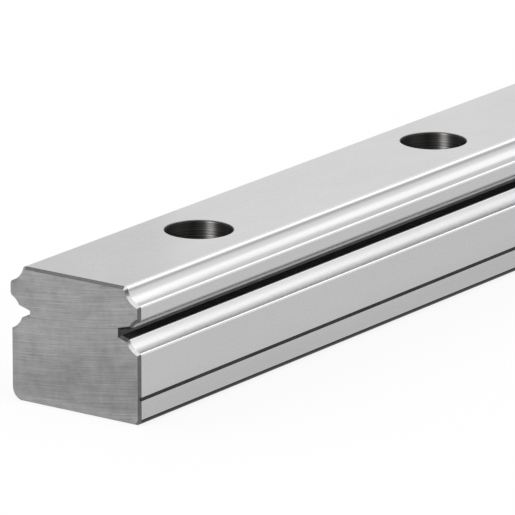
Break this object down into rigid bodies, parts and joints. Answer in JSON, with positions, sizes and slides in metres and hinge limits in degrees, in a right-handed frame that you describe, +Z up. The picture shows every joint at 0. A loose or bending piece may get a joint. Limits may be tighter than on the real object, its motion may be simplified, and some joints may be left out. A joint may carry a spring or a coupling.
{
  "type": "linear guide rail",
  "caption": "Profiled steel rail with hollow ball raceways along both sides and counterbored screw holes, a straight track for a sliding carriage.",
  "frame": {"origin": "middle of the rail's base", "axes": "+X along the rail, +Z up to the top face, -Y the datum side with the fine groove"},
  "size_m": [0.3, 0.023, 0.02],
  "materials": {
    "ground_steel": "ground, satin"
  },
  "bodies": {
    "root": {"guide_rail": "ground_steel"}
  },
  "joints": []
}
